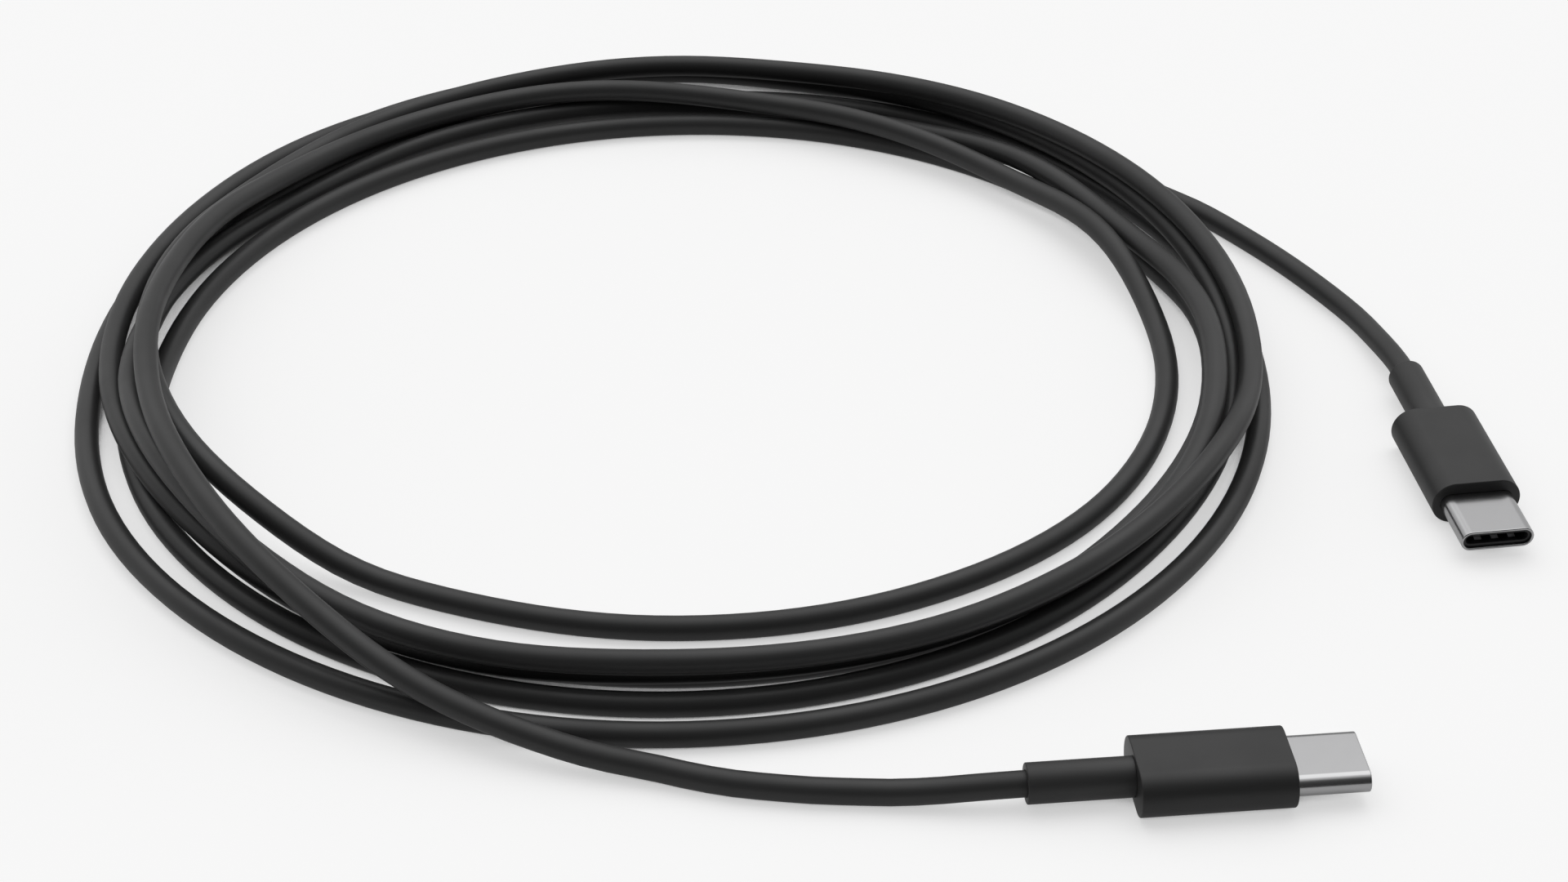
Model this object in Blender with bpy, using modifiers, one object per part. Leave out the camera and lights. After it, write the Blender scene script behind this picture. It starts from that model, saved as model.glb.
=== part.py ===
"""USB-C cable: a long thin cable laid down in a loose round coil, with a plug on each end.

Metres, +Z up. The cable lies on a level floor at z = 0. X runs to the right and Y away from the
viewer, and the origin is on the floor under the middle of the whole object.
"""

import math

import bmesh
import bpy
from mathutils import Matrix, Vector
from mathutils.geometry import interpolate_bezier

MM = 0.001

# Cable
CABLE_DIAMETER = 2.75 * MM
CABLE_RADIUS = CABLE_DIAMETER / 2

# Coil: the outer shape of its turns, a little deeper than it is wide
COIL_CENTRE_X = -12.9 * MM
COIL_CENTRE_Y = 5.4 * MM
COIL_WIDTH = 138.0 * MM
COIL_DEPTH = 145.0 * MM
COIL_BAND = 16.5 * MM
TURN_LAYERS = (0.0, 0.62, 1.1, 1.4, 1.1, 0.62, 0.0)

# Plug housing and the sleeve behind it
HOUSING_LENGTH = 15.7 * MM
HOUSING_WIDTH = 10.1 * MM
HOUSING_THICKNESS = 5.1 * MM
HOUSING_EDGE = 0.25 * MM
SLEEVE_DIAMETER = 4.2 * MM
SLEEVE_LENGTH = 10.5 * MM
SLEEVE_EDGE = 0.25 * MM
SLEEVE_ROOT_DIAMETER = 3.0 * MM
SLEEVE_ROOT_LENGTH = 3.0 * MM

# Steel shell and the plastic liner inside it
SHELL_WIDTH = 8.25 * MM
SHELL_THICKNESS = 2.4 * MM
SHELL_WALL = 0.3 * MM
SHELL_REACH = 7.5 * MM
SHELL_ROOT = 4.5 * MM
SHELL_EDGE = 0.1 * MM
LINER_RECESS = 0.35 * MM
LINER_SLOT_WIDTH = 6.8 * MM
LINER_SLOT_HEIGHT = 0.84 * MM
LINER_SLOT_DEPTH = 6.2 * MM

# Gaps between neighbouring pieces
FACE_GAP = 0.3 * MM
SLIDE_GAP = 0.15 * MM

# How finely round shapes are divided
ARC_SEGMENTS = 12
ROUND_SEGMENTS = 32
EDGE_SEGMENTS = 3
COIL_STEPS = 64
SIDE_SEGMENTS = 6
POINTS_PER_TURN = 3
CURVE_DETAIL = 24
TAIL_POINT_SPACING = 2.2 * CABLE_DIAMETER

CUT_OVERRUN = 1.0 * MM
WELD_DISTANCE = 0.001 * MM
Z_TO_X = Matrix.Rotation(math.pi / 2, 4, "Y")

# Where each plug lies round the coil: the bearing in degrees from the coil's middle to the middle
# of the housing's cable end, how far that is from the coil's edge, and the way the mouth points
PLUG_HEIGHT = HOUSING_THICKNESS / 2
PLUG_PLACES = {
    "front": (-58.7, 20.0 * MM, math.radians(6.0)),
    "rear": (-9.2, 19.4 * MM, math.radians(-81.5)),
}

# Loose ends of the cable, from the plug's sleeve to the coil, as (bearing in degrees, distance of
# the cable's middle from the coil's edge, height of its middle)
TAIL_SEAT = CABLE_RADIUS + 0.4 * MM
TAIL_ROUTES = {
    "front": (
        (-67.9, 14.0 * MM, 2.4 * MM),
        (-70.4, 12.4 * MM, 1.9 * MM),
        (-73.1, 10.8 * MM, 1.5 * MM),
        (-75.7, 9.4 * MM, CABLE_RADIUS),
        (-78.5, 8.2 * MM, CABLE_RADIUS),
        (-81.2, 7.0 * MM, CABLE_RADIUS),
        (-84.1, 5.8 * MM, CABLE_RADIUS),
        (-87.0, 4.4 * MM, CABLE_RADIUS),
        (-90.1, 3.0 * MM, CABLE_RADIUS),
        (-92.6, TAIL_SEAT, CABLE_RADIUS),
    ),
    "rear": (
        (0.4, 16.1 * MM, 2.3 * MM),
        (4.5, 15.3 * MM, 1.7 * MM),
        (8.9, 14.1 * MM, CABLE_RADIUS),
        (13.0, 12.0 * MM, CABLE_RADIUS),
        (17.8, 9.7 * MM, CABLE_RADIUS),
        (23.3, 7.7 * MM, CABLE_RADIUS),
        (29.5, 5.8 * MM, CABLE_RADIUS),
        (34.3, 4.0 * MM, CABLE_RADIUS),
        (38.0, 2.7 * MM, CABLE_RADIUS),
        (41.2, TAIL_SEAT, CABLE_RADIUS),
    ),
}

# Colours, roughness and metallic value of each material
CHARCOAL = (0.055, 0.055, 0.058, 1.0)
BLACK = (0.02, 0.02, 0.022, 1.0)
STEEL = (0.62, 0.62, 0.64, 1.0)


def clear_scene():
    """Remove whatever the scene holds."""
    for item in list(bpy.data.objects):
        bpy.data.objects.remove(item, do_unlink=True)


def new_collection(name):
    """A collection linked to the scene."""
    collection = bpy.data.collections.new(name)
    bpy.context.scene.collection.children.link(collection)
    return collection


def make_material(name, colour, roughness, metallic=0.0):
    """One plain material."""
    material = bpy.data.materials.new(name)
    material.use_nodes = True
    shader = material.node_tree.nodes["Principled BSDF"]
    shader.inputs["Base Color"].default_value = colour
    shader.inputs["Roughness"].default_value = roughness
    shader.inputs["Metallic"].default_value = metallic
    return material


def add_object(name, data, collection, material=None, parent=None):
    """An object in a collection, with its material and parent."""
    item = bpy.data.objects.new(name, data)
    collection.objects.link(item)
    if material is not None:
        data.materials.append(material)
    if parent is not None:
        item.parent = parent
    return item


def make_cutter(item):
    """Mark an object as a cutter."""
    item.hide_render = True
    item.display_type = "WIRE"
    return item


def cut(item, cutter, name):
    """Cut one object out of another."""
    modifier = item.modifiers.new(name, "BOOLEAN")
    modifier.operation = "DIFFERENCE"
    modifier.solver = "EXACT"
    modifier.object = cutter


def round_edges(item, width, segments=2):
    """Round an object's sharp edges."""
    modifier = item.modifiers.new("rounded_edges", "BEVEL")
    modifier.width = width
    modifier.segments = segments
    modifier.limit_method = "ANGLE"
    modifier.angle_limit = math.radians(40)


def shade_round(mesh):
    """Smooth shading that keeps the sharp edges."""
    mesh.shade_smooth()
    mesh.set_sharp_from_angle(angle=math.radians(35))


def stadium_outline(width, thickness):
    """Points of a flat bar's section with full round sides, anticlockwise."""
    radius = thickness / 2
    reach = width / 2 - radius
    points = []
    for centre, start in ((reach, -math.pi / 2), (-reach, math.pi / 2)):
        for step in range(ARC_SEGMENTS + 1):
            angle = start + math.pi * step / ARC_SEGMENTS
            points.append((centre + radius * math.cos(angle), radius * math.sin(angle)))
    return points


def stadium_bar(name, width, thickness, start, end, collection, material, parent):
    """A bar of stadium section along the plug's X axis, from start to end, as a mesh."""
    outline = stadium_outline(width, thickness)
    curve = bpy.data.curves.new(name, "CURVE")
    curve.dimensions = "2D"
    curve.fill_mode = "BOTH"
    curve.extrude = (end - start) / 2
    spline = curve.splines.new("POLY")
    spline.points.add(len(outline) - 1)
    for point, (across, up) in zip(spline.points, outline):
        point.co = (across, up, 0.0, 1.0)
    spline.use_cyclic_u = True
    guide = bpy.data.objects.new(name + "_outline", curve)
    collection.objects.link(guide)
    mesh = mesh_from(guide, name)
    along_x = Matrix.Rotation(math.pi / 2, 4, "Z") @ Matrix.Rotation(math.pi / 2, 4, "X")
    mesh.transform(Matrix.Translation(((start + end) / 2, 0.0, 0.0)) @ along_x)
    return add_object(name, mesh, collection, material, parent)


def mesh_from(item, name):
    """The object's evaluated shape as one closed mesh; the object itself is removed."""
    bpy.context.view_layer.update()
    evaluated = item.evaluated_get(bpy.context.evaluated_depsgraph_get())
    mesh = bpy.data.meshes.new_from_object(evaluated)
    mesh.name = name
    mesh.transform(item.matrix_world)
    shape = bmesh.new()
    shape.from_mesh(mesh)
    bmesh.ops.remove_doubles(shape, verts=shape.verts, dist=WELD_DISTANCE)
    bmesh.ops.recalc_face_normals(shape, faces=shape.faces)
    shape.to_mesh(mesh)
    shape.free()
    bpy.data.objects.remove(item, do_unlink=True)
    return mesh


def turned_mesh(name, profile, steps, collection):
    """A profile of (radius, height) pairs, top to bottom, turned about the Z axis."""
    mesh = bpy.data.meshes.new(name)
    points = [(radius, 0.0, height) for radius, height in profile]
    edges = [(index, index + 1) for index in range(len(points) - 1)]
    if profile[0][0] > WELD_DISTANCE:
        edges.append((len(points) - 1, 0))
    mesh.from_pydata(points, edges, [])
    blank = add_object(name + "_profile", mesh, collection)
    screw = blank.modifiers.new("turned", "SCREW")
    screw.axis = "Z"
    screw.steps = steps
    screw.render_steps = steps
    screw.use_merge_vertices = True
    screw.merge_threshold = WELD_DISTANCE
    return mesh_from(blank, name)


def make_housing(plug, cable, cutters, frame, material):
    """The moulded block that a finger and thumb hold, with a pocket at each end."""
    name = plug + "_plug_housing"
    housing = stadium_bar(
        name, HOUSING_WIDTH, HOUSING_THICKNESS, 0.0, HOUSING_LENGTH, cable, material, frame
    )
    round_edges(housing, HOUSING_EDGE)
    shell_pocket = stadium_bar(
        plug + "_shell_pocket",
        SHELL_WIDTH + 2 * SLIDE_GAP,
        SHELL_THICKNESS + 2 * SLIDE_GAP,
        HOUSING_LENGTH - SHELL_ROOT - FACE_GAP,
        HOUSING_LENGTH + CUT_OVERRUN,
        cutters,
        None,
        frame,
    )
    socket_depth = SLEEVE_ROOT_LENGTH + FACE_GAP
    socket_radius = SLEEVE_ROOT_DIAMETER / 2 + SLIDE_GAP
    socket = turned_mesh(
        plug + "_sleeve_socket",
        [
            (0.0, socket_depth),
            (socket_radius, socket_depth),
            (socket_radius, -CUT_OVERRUN),
            (0.0, -CUT_OVERRUN),
        ],
        ROUND_SEGMENTS,
        cutters,
    )
    socket.transform(Z_TO_X)
    sleeve_socket = add_object(plug + "_sleeve_socket", socket, cutters, None, frame)
    cut(housing, make_cutter(shell_pocket), "shell_pocket")
    cut(housing, make_cutter(sleeve_socket), "sleeve_socket")
    shade_round(housing.data)


def make_strain_relief(plug, cable, frame, material):
    """The soft sleeve on the cable behind the housing; its root sits in the housing."""
    name = plug + "_strain_relief"
    radius = SLEEVE_DIAMETER / 2
    root_radius = SLEEVE_ROOT_DIAMETER / 2
    profile = [
        (0.0, SLEEVE_ROOT_LENGTH),
        (root_radius, SLEEVE_ROOT_LENGTH),
        (root_radius, -FACE_GAP),
        (radius, -FACE_GAP),
    ]
    for step in range(EDGE_SEGMENTS + 1):
        angle = math.pi / 2 * step / EDGE_SEGMENTS
        profile.append(
            (
                radius - SLEEVE_EDGE * (1 - math.cos(angle)),
                SLEEVE_EDGE - SLEEVE_LENGTH - SLEEVE_EDGE * math.sin(angle),
            )
        )
    profile.append((0.0, -SLEEVE_LENGTH))
    mesh = turned_mesh(name, profile, ROUND_SEGMENTS, cable)
    mesh.transform(Z_TO_X)
    sleeve = add_object(name, mesh, cable, material, frame)
    shade_round(sleeve.data)


def make_shell(plug, cable, cutters, frame, material):
    """The drawn steel tube of the mouth, open at both ends."""
    start = HOUSING_LENGTH - SHELL_ROOT
    end = HOUSING_LENGTH + SHELL_REACH
    shell = stadium_bar(
        plug + "_plug_shell", SHELL_WIDTH, SHELL_THICKNESS, start, end, cable, material, frame
    )
    round_edges(shell, SHELL_EDGE)
    bore = stadium_bar(
        plug + "_shell_bore",
        SHELL_WIDTH - 2 * SHELL_WALL,
        SHELL_THICKNESS - 2 * SHELL_WALL,
        start - CUT_OVERRUN,
        end + CUT_OVERRUN,
        cutters,
        None,
        frame,
    )
    cut(shell, make_cutter(bore), "bore")
    shade_round(shell.data)


def make_liner(plug, cable, cutters, frame, material):
    """The plastic block inside the shell, with the slot that takes a socket's tongue."""
    inset = 2 * (SHELL_WALL + SLIDE_GAP)
    start = HOUSING_LENGTH - SHELL_ROOT
    end = HOUSING_LENGTH + SHELL_REACH - LINER_RECESS
    liner = stadium_bar(
        plug + "_plug_liner",
        SHELL_WIDTH - inset,
        SHELL_THICKNESS - inset,
        start,
        end,
        cable,
        material,
        frame,
    )
    slot = stadium_bar(
        plug + "_tongue_slot",
        LINER_SLOT_WIDTH,
        LINER_SLOT_HEIGHT,
        end - LINER_SLOT_DEPTH,
        end + CUT_OVERRUN,
        cutters,
        None,
        frame,
    )
    cut(liner, make_cutter(slot), "tongue_slot")
    shade_round(liner.data)


def beside_coil(bearing, distance, height):
    """A place at a bearing from the coil's middle and a distance outside the coil's edge."""
    angle = math.radians(bearing)
    half_width = COIL_WIDTH / 2
    half_depth = COIL_DEPTH / 2
    edge = half_width * half_depth / math.hypot(
        half_depth * math.cos(angle), half_width * math.sin(angle)
    )
    reach = edge + distance
    return Vector(
        (
            COIL_CENTRE_X + reach * math.cos(angle),
            COIL_CENTRE_Y + reach * math.sin(angle),
            height,
        )
    )


def make_plug(plug, cable, cutters, materials):
    """One plug and its strain relief, placed by an empty at the housing's cable end."""
    bearing, distance, yaw = PLUG_PLACES[plug]
    frame = bpy.data.objects.new(plug + "_plug_place", None)
    cable.objects.link(frame)
    frame.location = beside_coil(bearing, distance, PLUG_HEIGHT)
    frame.rotation_euler = (0.0, 0.0, yaw)
    make_housing(plug, cable, cutters, frame, materials["housing"])
    make_strain_relief(plug, cable, frame, materials["sleeve"])
    make_shell(plug, cable, cutters, frame, materials["steel"])
    make_liner(plug, cable, cutters, frame, materials["liner"])


def cable_exit(plug):
    """Where the cable leaves a plug's sleeve, and the way it goes there."""
    bearing, distance, yaw = PLUG_PLACES[plug]
    outward = -Vector((math.cos(yaw), math.sin(yaw), 0.0))
    place = beside_coil(bearing, distance, PLUG_HEIGHT)
    return place + outward * (SLEEVE_LENGTH + FACE_GAP), outward


def smooth_points(route, spacing):
    """Points a set distance apart on one smooth curve through the route's points."""
    dense = []
    last = len(route) - 1
    for index in range(last):
        before = route[max(index - 1, 0)]
        here = route[index]
        there = route[index + 1]
        after = route[min(index + 2, last)]
        handle_out = here + (there - before) / 6
        handle_in = there - (after - here) / 6
        run = interpolate_bezier(here, handle_out, handle_in, there, CURVE_DETAIL)
        dense.extend(run if index == last - 1 else run[:-1])
    count = round(sum((b - a).length for a, b in zip(dense, dense[1:])) / spacing)
    step = sum((b - a).length for a, b in zip(dense, dense[1:])) / count
    points = [dense[0]]
    travelled = 0.0
    for a, b in zip(dense, dense[1:]):
        length = (b - a).length
        while len(points) < count and travelled + length >= step * len(points):
            points.append(a.lerp(b, (step * len(points) - travelled) / length))
        travelled += length
    points.append(dense[-1])
    return points


def make_tail(plug, cable, material):
    """A loose end of the cable, from a plug's sleeve to the side of the coil."""
    start, outward = cable_exit(plug)
    route = [start, start + outward * CABLE_DIAMETER]
    route.extend(beside_coil(*place) for place in TAIL_ROUTES[plug])
    points = smooth_points(route, TAIL_POINT_SPACING)
    curve = bpy.data.curves.new("cable_tail_" + plug, "CURVE")
    curve.dimensions = "3D"
    curve.bevel_depth = CABLE_RADIUS
    curve.bevel_resolution = 2
    curve.use_fill_caps = True
    spline = curve.splines.new("POLY")
    spline.points.add(len(points) - 1)
    for point, place in zip(spline.points, points):
        point.co = (*place, 1.0)
    add_object("cable_tail_" + plug, curve, cable, material)


def coil_profile():
    """The coil's section, top to bottom on its outer side: a flat low mound with a ridge a turn."""
    outer = COIL_WIDTH / 2
    inner = outer - COIL_BAND
    pitch = (COIL_BAND - CABLE_DIAMETER) / (len(TURN_LAYERS) - 1)
    turns = [
        (inner + CABLE_RADIUS + pitch * index, CABLE_RADIUS + CABLE_DIAMETER * layer)
        for index, layer in enumerate(TURN_LAYERS)
    ]
    innermost = turns[0][0]
    outermost = turns[-1][0]
    points = []
    for step in range(1, SIDE_SEGMENTS + 1):
        angle = math.pi / 2 - math.pi * step / SIDE_SEGMENTS
        points.append(
            (outermost + CABLE_RADIUS * math.cos(angle), CABLE_RADIUS * (1 + math.sin(angle)))
        )
    for step in range(SIDE_SEGMENTS):
        angle = -math.pi / 2 - math.pi * step / SIDE_SEGMENTS
        points.append(
            (innermost + CABLE_RADIUS * math.cos(angle), CABLE_RADIUS * (1 + math.sin(angle)))
        )
    top_points = POINTS_PER_TURN * (len(turns) - 1)
    for step in range(top_points + 1):
        radius = innermost + (outermost - innermost) * step / top_points
        height = max(
            centre_height + math.sqrt(CABLE_RADIUS**2 - (radius - centre) ** 2)
            for centre, centre_height in turns
            if abs(radius - centre) < CABLE_RADIUS
        )
        points.append((radius, height))
    return points


def make_coil(cable, material):
    """The coiled length of the cable as one turned ring, stretched to the coil's depth."""
    mesh = turned_mesh("cable_coil", coil_profile(), COIL_STEPS, cable)
    mesh.transform(Matrix.Diagonal((1.0, COIL_DEPTH / COIL_WIDTH, 1.0, 1.0)))
    coil = add_object("cable_coil", mesh, cable, material)
    coil.location = (COIL_CENTRE_X, COIL_CENTRE_Y, 0.0)
    shade_round(coil.data)


def main():
    """Build the cable."""
    clear_scene()
    cable = new_collection("usb_c_cable")
    cutters = new_collection("usb_c_cable_cutters")
    materials = {
        "cable": make_material("cable_jacket", CHARCOAL, 0.5),
        "sleeve": make_material("sleeve_rubber", CHARCOAL, 0.55),
        "housing": make_material("housing_plastic", CHARCOAL, 0.45),
        "liner": make_material("liner_plastic", BLACK, 0.5),
        "steel": make_material("shell_steel", STEEL, 0.28, 1.0),
    }
    make_coil(cable, materials["cable"])
    for plug in PLUG_PLACES:
        make_tail(plug, cable, materials["cable"])
        make_plug(plug, cable, cutters, materials)


main()
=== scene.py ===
"""Looks of a USB-C cable: a thin soft cable laid down in a loose coil, with a plug on each end.

Metres, +Z up. The cable lies on a level floor at z = 0, with X to the right and Y away from the
viewer. Each button of the sidebar's panel makes one kind of piece from the settings shown there.
"""

import math

import bpy
from mathutils import Matrix, Vector
from mathutils.geometry import interpolate_bezier


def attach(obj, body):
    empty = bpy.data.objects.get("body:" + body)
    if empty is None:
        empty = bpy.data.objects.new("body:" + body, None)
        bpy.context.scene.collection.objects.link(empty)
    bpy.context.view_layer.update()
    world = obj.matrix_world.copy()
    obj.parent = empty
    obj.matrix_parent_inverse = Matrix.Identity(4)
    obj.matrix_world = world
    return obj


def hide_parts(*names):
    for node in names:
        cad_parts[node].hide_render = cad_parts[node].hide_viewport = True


bl_info = {
    "name": "USB-C Cable",
    "version": (1, 0, 0),
    "blender": (4, 5, 0),
    "location": "3D View > Sidebar > Cable",
    "description": "Makes a coiled USB-C cable, its two plugs and the studio that they lie in",
    "category": "Object",
}

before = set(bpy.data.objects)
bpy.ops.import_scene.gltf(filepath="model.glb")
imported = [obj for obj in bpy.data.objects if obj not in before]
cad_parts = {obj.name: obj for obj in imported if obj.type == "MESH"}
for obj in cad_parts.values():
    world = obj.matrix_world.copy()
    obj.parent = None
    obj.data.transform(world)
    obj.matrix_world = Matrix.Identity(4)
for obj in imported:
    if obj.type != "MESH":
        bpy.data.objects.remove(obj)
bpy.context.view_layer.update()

MM = 0.001

# Cable, and its diameter
CABLE_DIAMETER = 2.75 * MM
CABLE_RADIUS = CABLE_DIAMETER / 2

# Coil, as the solids have it
COIL_CENTRE_X = -12.9 * MM
COIL_CENTRE_Y = 5.4 * MM
COIL_WIDTH = 138.0 * MM
COIL_DEPTH = 145.0 * MM

# Plug housing, sleeve, shell and liner, as the solids have them apart from their edges and seams
HOUSING_LENGTH = 15.7 * MM
HOUSING_WIDTH = 10.1 * MM
HOUSING_THICKNESS = 5.1 * MM
HOUSING_EDGE = 0.15 * MM
SLEEVE_DIAMETER = 4.2 * MM
SLEEVE_LENGTH = 10.5 * MM
SLEEVE_EDGE = 0.15 * MM
SLEEVE_ROOT_DIAMETER = 3.0 * MM
SLEEVE_ROOT_LENGTH = 3.0 * MM
SHELL_WIDTH = 8.25 * MM
SHELL_THICKNESS = 2.4 * MM
SHELL_WALL = 0.3 * MM
SHELL_REACH = 7.5 * MM
SHELL_ROOT = 4.5 * MM
SHELL_LIP = 0.13 * MM
LINER_RECESS = 0.35 * MM
LINER_SLOT_WIDTH = 6.8 * MM
LINER_SLOT_HEIGHT = 0.84 * MM
LINER_SLOT_DEPTH = 6.2 * MM
LINER_LEAD = 0.12 * MM

# Contacts in the two rows of the mouth, and the springs that earth the shell
CONTACTS_PER_ROW = 12
CONTACT_PITCH = 0.5 * MM
CONTACT_WIDTH = 0.26 * MM
CONTACT_THICKNESS = 0.06 * MM
CONTACT_LENGTH = 4.4 * MM
CONTACT_BOW = 0.16 * MM
SPRING_PITCH = 1.9 * MM
SPRING_WIDTH = 0.8 * MM
SPRING_LENGTH = 1.1 * MM
SPRING_BOW = 0.14 * MM
SPRING_SETBACK = 0.55 * MM
SPRINGS_PER_ROW = 3

# Clearances between the pieces, and between a turn of the cable and the one below it
FACE_GAP = 0.3 * MM
SLIDE_GAP = 0.15 * MM
SEAM_GAP = 0.03 * MM
CABLE_BORE_GAP = 0.05 * MM
CABLE_BORE_DEPTH = 2.5 * MM
TURN_GAP = 0.1 * MM

# How finely round shapes are divided, and from which angle on an edge is crisp
RING_POINTS = 96
EDGE_STEPS = 4
STRIP_STEPS = 12
STRIP_CORNERS = 4
STATIONS_PER_TURN = 72
REACHES_PER_TURN = 12
POINT_SPACING = 2.6 * MM
LINE_DETAIL = 5
CABLE_ROUND = 6
CREASE_ANGLE = math.radians(40.0)

# Where each plug lies: the bearing in degrees from the coil's middle to the middle of the
# housing's cable end, how far that is from the coil's edge, and the way the mouth points
PLUG_HEIGHT = HOUSING_THICKNESS / 2
PLUG_PLACES = {
    "front": (-58.7, 20.0 * MM, math.radians(6.0)),
    "rear": (-9.2, 19.4 * MM, math.radians(-81.5)),
}

# Loose ends of the cable, from the plug's sleeve to the coil, as (bearing in degrees, distance of
# the cable's middle from the coil's edge, height of its middle)
TAIL_ROUTES = {
    "front": (
        (-67.9, 14.0 * MM, 2.4 * MM),
        (-70.4, 12.4 * MM, 1.9 * MM),
        (-73.1, 10.8 * MM, 1.5 * MM),
        (-75.7, 9.4 * MM, CABLE_RADIUS),
        (-78.5, 8.2 * MM, CABLE_RADIUS),
        (-81.2, 7.0 * MM, CABLE_RADIUS),
        (-84.1, 5.8 * MM, CABLE_RADIUS),
        (-87.0, 4.4 * MM, CABLE_RADIUS),
    ),
    "rear": (
        (0.4, 16.1 * MM, 2.3 * MM),
        (4.5, 14.9 * MM, 1.7 * MM),
        (8.3, 13.7 * MM, CABLE_RADIUS),
        (12.6, 11.8 * MM, CABLE_RADIUS),
        (17.8, 9.7 * MM, CABLE_RADIUS),
        (23.3, 7.7 * MM, CABLE_RADIUS),
        (29.5, 5.8 * MM, CABLE_RADIUS),
        (34.3, 4.0 * MM, CABLE_RADIUS),
        (39.0, 2.9 * MM, CABLE_RADIUS),
        (44.0, 2.2 * MM, CABLE_RADIUS),
        (49.5, 1.9 * MM, CABLE_RADIUS),
        (55.0, 1.9 * MM, CABLE_RADIUS),
    ),
}

# How far the cable's middle lies from the coil's middle in each turn, in millimetres, at every 30
# degrees clockwise from the front. The first turn, from the front plug, lies on top of the others.
TURN_REACH = (
    (75.6, 68.3, 62.6, 60.7, 63.0, 66.6, 63.6, 60.7, 59.1, 58.1, 56.3, 53.4),
    (51.8, 52.5, 58.6, 61.8, 65.5, 70.0, 71.5, 69.0, 67.8, 67.6, 66.1, 64.7),
    (63.6, 64.3, 63.2, 63.1, 63.2, 64.6, 65.0, 65.7, 61.9, 63.0, 64.1, 62.9),
    (62.0, 62.9, 61.7, 60.3, 60.1, 60.3, 61.0, 62.0, 62.8, 63.3, 62.1, 60.9),
    (60.0, 60.5, 62.9, 66.3, 69.0, 72.4, 73.5, 70.5, 67.9, 65.8, 64.4, 64.8),
    (65.0, 64.8, 64.4, 63.9, 66.0, 67.4, 67.8, 69.6, 68.7, 68.5, 69.3, 69.9),
    (70.0, 69.9, 69.6, 68.3, 70.3, 75.0, 76.0, 73.6),
)

# The cable's line: its handles reach a sixth of the way between the places on either side
HANDLE_PARTS = 6

# How gently the cable comes down from a turn that it crosses, how often the lay is settled, and
# how much each neighbour then counts as the heights are eased
HUMP_RADIUS = 45.0 * MM
HUMP_STATIONS = 8
SETTLING_PASSES = 8
EASING_PASSES = 2
EASING_SHARE = 0.25

# How deep the grain of the moulded surfaces is, and the lines of the drawn metal, and how much of
# each shows
GRAIN_DEPTH = 0.004 * MM
GRAIN_SHARE = 0.35
LINE_DEPTH = 0.002 * MM
LINE_SHARE = 0.06

# The levels of the noise between which the smears of handling fade in
SMEARS_FROM = 0.35
SMEARS_TO = 0.68

# Finish of the moulded pieces: roughness at the glossiest and the dullest places, how many grains
# and smears there are in a metre, and how strongly the surface shines. The liner's rubbed places
# are paler by a factor.
JACKET_FINISH = {"gloss": (0.40, 0.48), "grain_scale": 5200.0, "smear_scale": 60.0, "shine": 0.40}
SLEEVE_FINISH = {"gloss": (0.40, 0.48), "grain_scale": 5600.0, "smear_scale": 90.0, "shine": 0.40}
HOUSING_FINISH = {"gloss": (0.40, 0.47), "grain_scale": 7000.0, "smear_scale": 90.0, "shine": 0.42}
LINER_FINISH = {"gloss": (0.40, 0.48), "grain_scale": 7000.0, "smear_scale": 90.0, "shine": 0.50}
LINER_RUBBED = 1.4

# Finish of the metal pieces: roughness at the glossiest and the dullest places, how many drawing
# lines there are in a millimetre along and across, and how many stains. Stained places are darker
# by a factor.
SHELL_FINISH = {"gloss": (0.19, 0.25), "line_scale": (0.35, 30.0, 1.0), "stain_scale": 0.6}
CONTACT_FINISH = {"gloss": (0.25, 0.38), "line_scale": (0.8, 45.0, 1.0), "stain_scale": 1.2}
SPRING_FINISH = {"gloss": (0.52, 0.60), "line_scale": (0.6, 38.0, 1.0), "stain_scale": 1.0}
CONTACT_COLOUR = (0.72, 0.60, 0.38)
SPRING_COLOUR = (0.66, 0.66, 0.67)
METAL_STAINED = 0.96

# Sockets of the mix node that hold its two colours, and the mixed colour that it puts out
MIX_FIRST = 6
MIX_SECOND = 7
MIX_RESULT = 2

# Camera: its place in metres, its dip below level, its lens and sensor in millimetres, and how
# near and how far it sees in metres
CAMERA_PLACE = (0.0, -343.7 * MM, 219.9 * MM)
CAMERA_DIP = math.radians(33.24)
CAMERA_LENS = 80.0
CAMERA_SENSOR = 36.0
CAMERA_NEAR = 0.01
CAMERA_FAR = 20.0

# Floor, as far as it reaches each way, and how matt it is
FLOOR_REACH = 3.0
FLOOR_ROUGHNESS = 0.95

# The floor's painted shade in narrow gaps, where its glow is cut: how far a neighbour darkens it,
# how open dark and pale places are, and how many ways are looked at to tell
GAP_REACH = 7.0 * MM
GAP_DARK = 0.0
GAP_PALE = 0.16
GAP_SAMPLES = 12

# How much of the floor's own glow falls on the pieces
FLOOR_BOUNCE = 0.22

# How broad the key light is and how it is turned, and the backdrop's colour
KEY_SPREAD = math.radians(50.0)
KEY_TURN = (math.radians(-24.0), math.radians(12.0), 0.0)
BACKDROP = (0.93, 0.93, 0.93, 1.0)

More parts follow.
